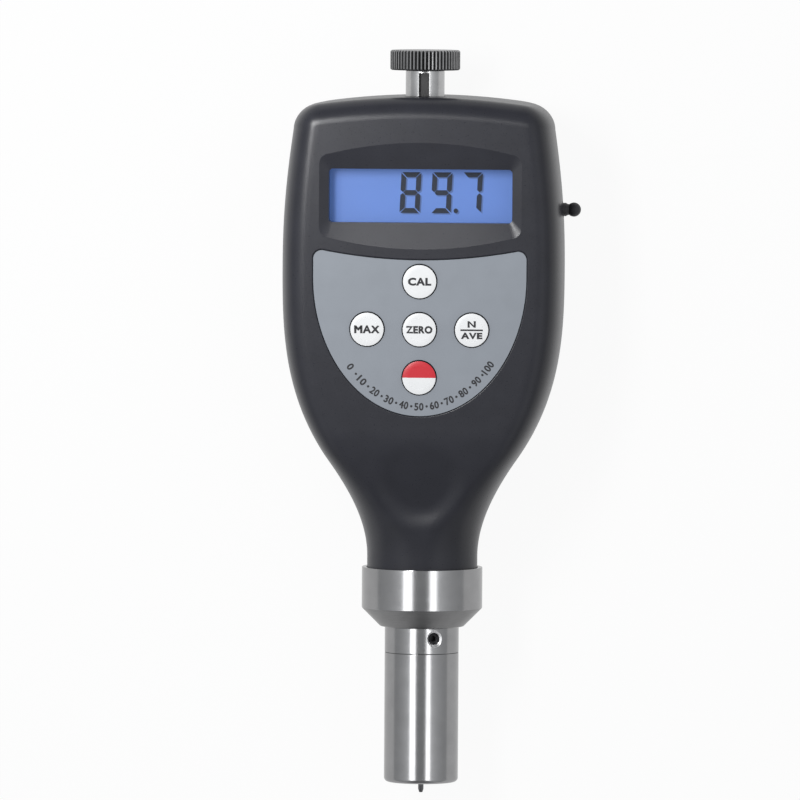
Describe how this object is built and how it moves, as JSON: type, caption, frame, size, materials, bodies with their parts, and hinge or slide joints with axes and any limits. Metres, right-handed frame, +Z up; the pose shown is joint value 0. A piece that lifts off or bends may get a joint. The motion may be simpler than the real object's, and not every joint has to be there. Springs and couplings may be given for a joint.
{
  "type": "durometer",
  "caption": "Hand-held digital hardness tester with a waisted moulded case, blue display, round keys, a knurled nut on top and a sprung indenter in a turned presser foot.",
  "frame": {"origin": "on the flat back that the instrument rests on, below the indenter's axis and halfway along the instrument", "axes": "+X to the right across the display, +Y along the instrument from the presser foot to the knurled nut, +Z up out of the display"},
  "size_m": [0.069, 0.1726, 0.0365],
  "materials": {
    "case_plastic": "finely textured",
    "panel_grey": "satin printed film",
    "key_white": "smooth",
    "key_red": "smooth",
    "pane_clear": "polished",
    "lcd_blue": "smooth",
    "diffuser_white": "frosted",
    "strip_rubber": "smooth",
    "board_green": "lacquered",
    "chip_black": "moulded",
    "screw_steel": "zinc plated",
    "plug_rubber": "smooth",
    "cell_jacket": "printed film",
    "contact_metal": "nickel plated",
    "turned_steel": "fine turned",
    "bush_brass": "turned",
    "spring_steel": "ground",
    "indenter_steel": "polished",
    "core_iron": "sintered",
    "coil_copper": "enamelled wire"
  },
  "bodies": {
    "case": {"front_shell": "case_plastic", "back_shell": "case_plastic", "keypad_panel": "panel_grey", "display_pane": "pane_clear", "lcd_glass": "lcd_blue", "lcd_backlight": "diffuser_white", "lcd_strips": "strip_rubber", "main_board": "board_green", "processor": "chip_black", "key_switches": "chip_black", "board_screws": "screw_steel", "data_jack": "chip_black", "battery_1": "cell_jacket", "battery_2": "cell_jacket", "battery_3": "cell_jacket", "battery_4": "cell_jacket", "battery_contacts": "contact_metal", "case_screws": "screw_steel", "stand_post": "turned_steel", "collar": "turned_steel", "probe_body": "turned_steel", "collar_nut": "turned_steel", "retaining_nut": "turned_steel", "set_screw": "screw_steel", "presser_foot": "turned_steel", "guide_bush": "bush_brass", "spring_adjuster": "bush_brass", "main_spring": "spring_steel", "sensor_coil": "coil_copper"},
    "plunger": {"spindle": "spring_steel", "indenter": "indenter_steel", "sensor_core": "core_iron"},
    "cal_key": {"key_cal": "key_white"},
    "max_key": {"key_max": "key_white"},
    "zero_key": {"key_zero": "key_white"},
    "average_key": {"key_average": "key_white"},
    "power_key": {"key_power": "key_red"},
    "nut": {"knurled_nut": "turned_steel"},
    "cover": {"battery_cover": "case_plastic"},
    "plug": {"jack_plug": "plug_rubber"}
  },
  "joints": [
    {"name": "indenter_press", "type": "slide", "parent": "case", "child": "plunger", "axis": [0, 1, 0], "range_m": [0, 0.0025], "stiffness_N_per_m": 3000, "springref_m": -0.00018, "deforming": ["main_spring"]},
    {"name": "cal_press", "type": "slide", "parent": "case", "child": "cal_key", "axis": [0, 0, -1], "range_m": [0, 0.0005], "stiffness_N_per_m": 600, "springref_m": -0.0005},
    {"name": "max_press", "type": "slide", "parent": "case", "child": "max_key", "axis": [0, 0, -1], "range_m": [0, 0.0005], "stiffness_N_per_m": 600, "springref_m": -0.0005},
    {"name": "zero_press", "type": "slide", "parent": "case", "child": "zero_key", "axis": [0, 0, -1], "range_m": [0, 0.0005], "stiffness_N_per_m": 600, "springref_m": -0.0005},
    {"name": "average_press", "type": "slide", "parent": "case", "child": "average_key", "axis": [0, 0, -1], "range_m": [0, 0.0005], "stiffness_N_per_m": 600, "springref_m": -0.0005},
    {"name": "power_press", "type": "slide", "parent": "case", "child": "power_key", "axis": [0, 0, -1], "range_m": [0, 0.0005], "stiffness_N_per_m": 600, "springref_m": -0.0005},
    {"name": "nut_turn", "type": "hinge", "parent": "case", "child": "nut", "pos_m": [0, 0.0816, 0.0195], "axis": [0, 1, 0], "continuous": true},
    {"name": "cover_slide", "type": "slide", "parent": "case", "child": "cover", "axis": [0, 1, 0], "range_m": [0, 0.065]},
    {"name": "plug_pull", "type": "slide", "parent": "case", "child": "plug", "axis": [1, 0, 0], "range_m": [0, 0.012]}
  ]
}
